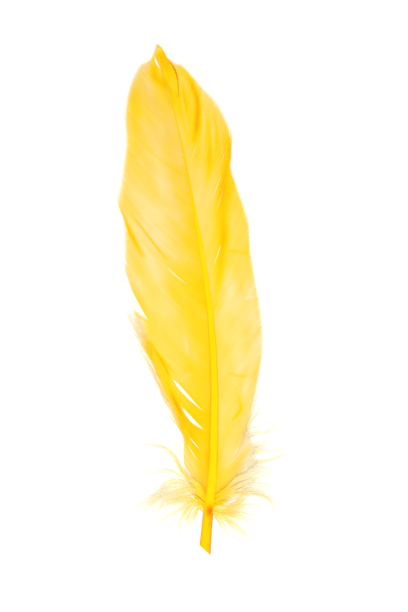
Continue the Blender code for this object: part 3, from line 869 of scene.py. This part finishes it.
def toned_material(name, stops, lit, grain, grain_size, rough, gloss, through, bump):
    """Colour by the mesh's tone, mottled with noise, and part of the light passing through.

    The mesh's painted_shade, where it has one, is painted shade: the share of the colour taken away.
    """
    made, nodes, links = new_material(name)
    tone = nodes.new("ShaderNodeAttribute")
    tone.attribute_name = "tone"
    where = nodes.new("ShaderNodeTexCoord")
    stretch = nodes.new("ShaderNodeMapping")
    stretch.inputs["Scale"].default_value = grain_size
    links.new(where.outputs["Object"], stretch.inputs["Vector"])
    noise = nodes.new("ShaderNodeTexNoise")
    noise.inputs["Scale"].default_value = 1.0
    noise.inputs["Detail"].default_value = 4.0
    links.new(stretch.outputs[0], noise.inputs["Vector"])
    centred = nodes.new("ShaderNodeMath")
    centred.operation = "SUBTRACT"
    centred.inputs[1].default_value = 0.5
    links.new(noise.outputs["Fac"], centred.inputs[0])
    total = nodes.new("ShaderNodeMath")
    total.operation = "MULTIPLY_ADD"
    total.inputs[1].default_value = grain
    links.new(centred.outputs[0], total.inputs[0])
    links.new(tone.outputs["Fac"], total.inputs[2])
    top = stops[-1][0]
    scaled = nodes.new("ShaderNodeMath")
    scaled.operation = "DIVIDE"
    scaled.inputs[1].default_value = top
    links.new(total.outputs[0], scaled.inputs[0])
    ramp = nodes.new("ShaderNodeValToRGB")
    ramp.color_ramp.elements[0].position = 0.0
    ramp.color_ramp.elements[0].color = paint(stops[0][1], lit)
    ramp.color_ramp.elements[1].position = 1.0
    ramp.color_ramp.elements[1].color = paint(stops[-1][1], lit)
    for at, colour in stops[1:-1]:
        ramp.color_ramp.elements.new(at / top).color = paint(colour, lit)
    links.new(scaled.outputs[0], ramp.inputs["Fac"])
    # Painted shade: the colour is scaled down by the mesh's painted_shade.
    painted_shade = nodes.new("ShaderNodeAttribute")
    painted_shade.attribute_name = "painted_shade"
    kept = nodes.new("ShaderNodeMath")
    kept.operation = "SUBTRACT"
    kept.inputs[0].default_value = 1.0
    links.new(painted_shade.outputs["Fac"], kept.inputs[1])
    colour = nodes.new("ShaderNodeVectorMath")
    colour.operation = "SCALE"
    links.new(ramp.outputs["Color"], colour.inputs[0])
    links.new(kept.outputs[0], colour.inputs["Scale"])
    shader = nodes.new("ShaderNodeBsdfPrincipled")
    shader.inputs["Roughness"].default_value = rough
    shader.inputs["Specular IOR Level"].default_value = gloss
    links.new(colour.outputs[0], shader.inputs["Base Color"])
    if bump > 0:
        raised = nodes.new("ShaderNodeBump")
        raised.inputs["Strength"].default_value = bump
        raised.inputs["Distance"].default_value = 0.0002
        links.new(noise.outputs["Fac"], raised.inputs["Height"])
        links.new(raised.outputs[0], shader.inputs["Normal"])
    end = nodes.new("ShaderNodeOutputMaterial")
    if through > 0:
        behind = nodes.new("ShaderNodeBsdfTranslucent")
        mix = nodes.new("ShaderNodeMixShader")
        mix.inputs["Fac"].default_value = through
        links.new(colour.outputs[0], behind.inputs["Color"])
        links.new(shader.outputs[0], mix.inputs[1])
        links.new(behind.outputs[0], mix.inputs[2])
        links.new(mix.outputs[0], end.inputs["Surface"])
    else:
        links.new(shader.outputs[0], end.inputs["Surface"])
    return made


# How each dyed part looks as its tone rises.
VANE_STOPS = (
    (0.0, (254, 238, 196)), (0.2, (262, 232, 146)), (0.4, (264, 225, 100)), (0.6, (264, 222, 54)),
    (0.8, (264, 219, 12)), (1.0, (266, 208, 2)), (1.25, (266, 187, 2)), (1.9, (215, 118, 8)),
)
DOWN_STOPS = (
    (0.0, (235, 223, 182)), (0.1, (245, 232, 188)), (0.3, (247, 226, 146)), (0.5, (250, 219, 88)),
    (0.75, (256, 215, 40)), (1.0, (256, 208, 4)),
)
SHAFT_STOPS = (
    (0.0, (272, 230, 70)), (0.3, (272, 216, 2)), (0.6, (272, 202, 2)), (1.0, (272, 166, 2)),
    (1.4, (250, 122, 4)),
)


# --- the studio --------------------------------------------------------------------------


def studio():
    """A pale floor, an even sky, one soft lamp and the camera straight above."""
    scene = bpy.context.scene
    scene.view_settings.view_transform = "Standard"
    world = bpy.data.worlds.new("studio")
    scene.world = world
    world.use_nodes = True
    world.node_tree.nodes["Background"].inputs["Color"].default_value = (1, 1, 1, 1)
    world.node_tree.nodes["Background"].inputs["Strength"].default_value = SKY_STRENGTH

    floor_mesh = bpy.data.meshes.new("floor")
    corners = ((-1, -1), (1, -1), (1, 1), (-1, 1))
    floor_mesh.from_pydata(
        [(x * FLOOR_EDGE, y * FLOOR_EDGE, FLOOR_LEVEL) for x, y in corners], [], [(0, 1, 2, 3)]
    )
    floor = bpy.data.objects.new("floor", floor_mesh)
    scene.collection.objects.link(floor)
    paper, nodes, links = new_material("white_paper")
    shader = nodes.new("ShaderNodeBsdfPrincipled")
    shader.inputs["Base Color"].default_value = (FLOOR_GREY, FLOOR_GREY, FLOOR_GREY, 1)
    shader.inputs["Roughness"].default_value = 0.9
    shader.inputs["Specular IOR Level"].default_value = 0.1
    shader.inputs["Emission Color"].default_value = (1, 1, 1, 1)
    shader.inputs["Emission Strength"].default_value = FLOOR_GLOW
    end = nodes.new("ShaderNodeOutputMaterial")
    links.new(shader.outputs[0], end.inputs["Surface"])
    floor_mesh.materials.append(paper)

    light = bpy.data.lights.new("softbox", "AREA")
    light.shape = "DISK"
    light.size = LAMP_SIZE
    light.energy = LAMP_ENERGY
    lamp = bpy.data.objects.new("softbox", light)
    lamp.location = LAMP_AT
    lamp.rotation_euler = (-Vector(LAMP_AT)).to_track_quat("-Z", "Y").to_euler()
    scene.collection.objects.link(lamp)

    lens = bpy.data.cameras.new("camera")
    lens.lens, lens.sensor_width = CAMERA_LENS, CAMERA_SENSOR
    lens.dof.use_dof = False
    camera = bpy.data.objects.new("camera", lens)
    centre = place((*VIEW_CENTRE, 0.0))
    height = VIEW_HEIGHT * MM / CAMERA_SENSOR * CAMERA_LENS
    camera.location = (centre[0], centre[1], height)
    camera.rotation_euler = (0, 0, -TURN)
    scene.collection.objects.link(camera)
    scene.camera = camera


studio()
barbs = toned_material("vane_barbs", VANE_STOPS, 1.19, 0.30, (90, 90, 90), 0.60, 0.03, 0.12, 0.0)
fluff = toned_material("down_fibres", DOWN_STOPS, 0.97, 0.10, (200, 200, 200), 0.80, 0.03, 0.06, 0.0)
horn = toned_material("shaft_horn", SHAFT_STOPS, 1.14, 0.26, (2200, 70, 2200), 0.36, 0.02, 0.0, 0.25)
left = vane(
    "left_barbs", "left_vane", LEFT_BARBS, -1,
    LEFT_DYE, LEFT_SLITS, LEFT_CREASES, LEFT_FRAYS, LEFT_PAINTED_SHADE, barbs, 11,
)
right = vane(
    "right_barbs", "right_vane", RIGHT_BARBS, 1,
    RIGHT_DYE, RIGHT_SLITS, RIGHT_CREASES, RIGHT_FRAYS, RIGHT_PAINTED_SHADE, barbs, 12,
)
tops = tops_of((left, right))
loose("left_strands", "left_vane", LEFT_STRANDS, tops, barbs, 13)
loose("right_strands", "right_vane", RIGHT_STRANDS, tops, barbs, 14)
tip_curl(tops, barbs, 31)
shaft(horn)
down("left_fluff", "left_down", LEFT_WISPS, -1, tops, fluff, 21)
down("right_fluff", "right_down", RIGHT_WISPS, 1, tops, fluff, 22)
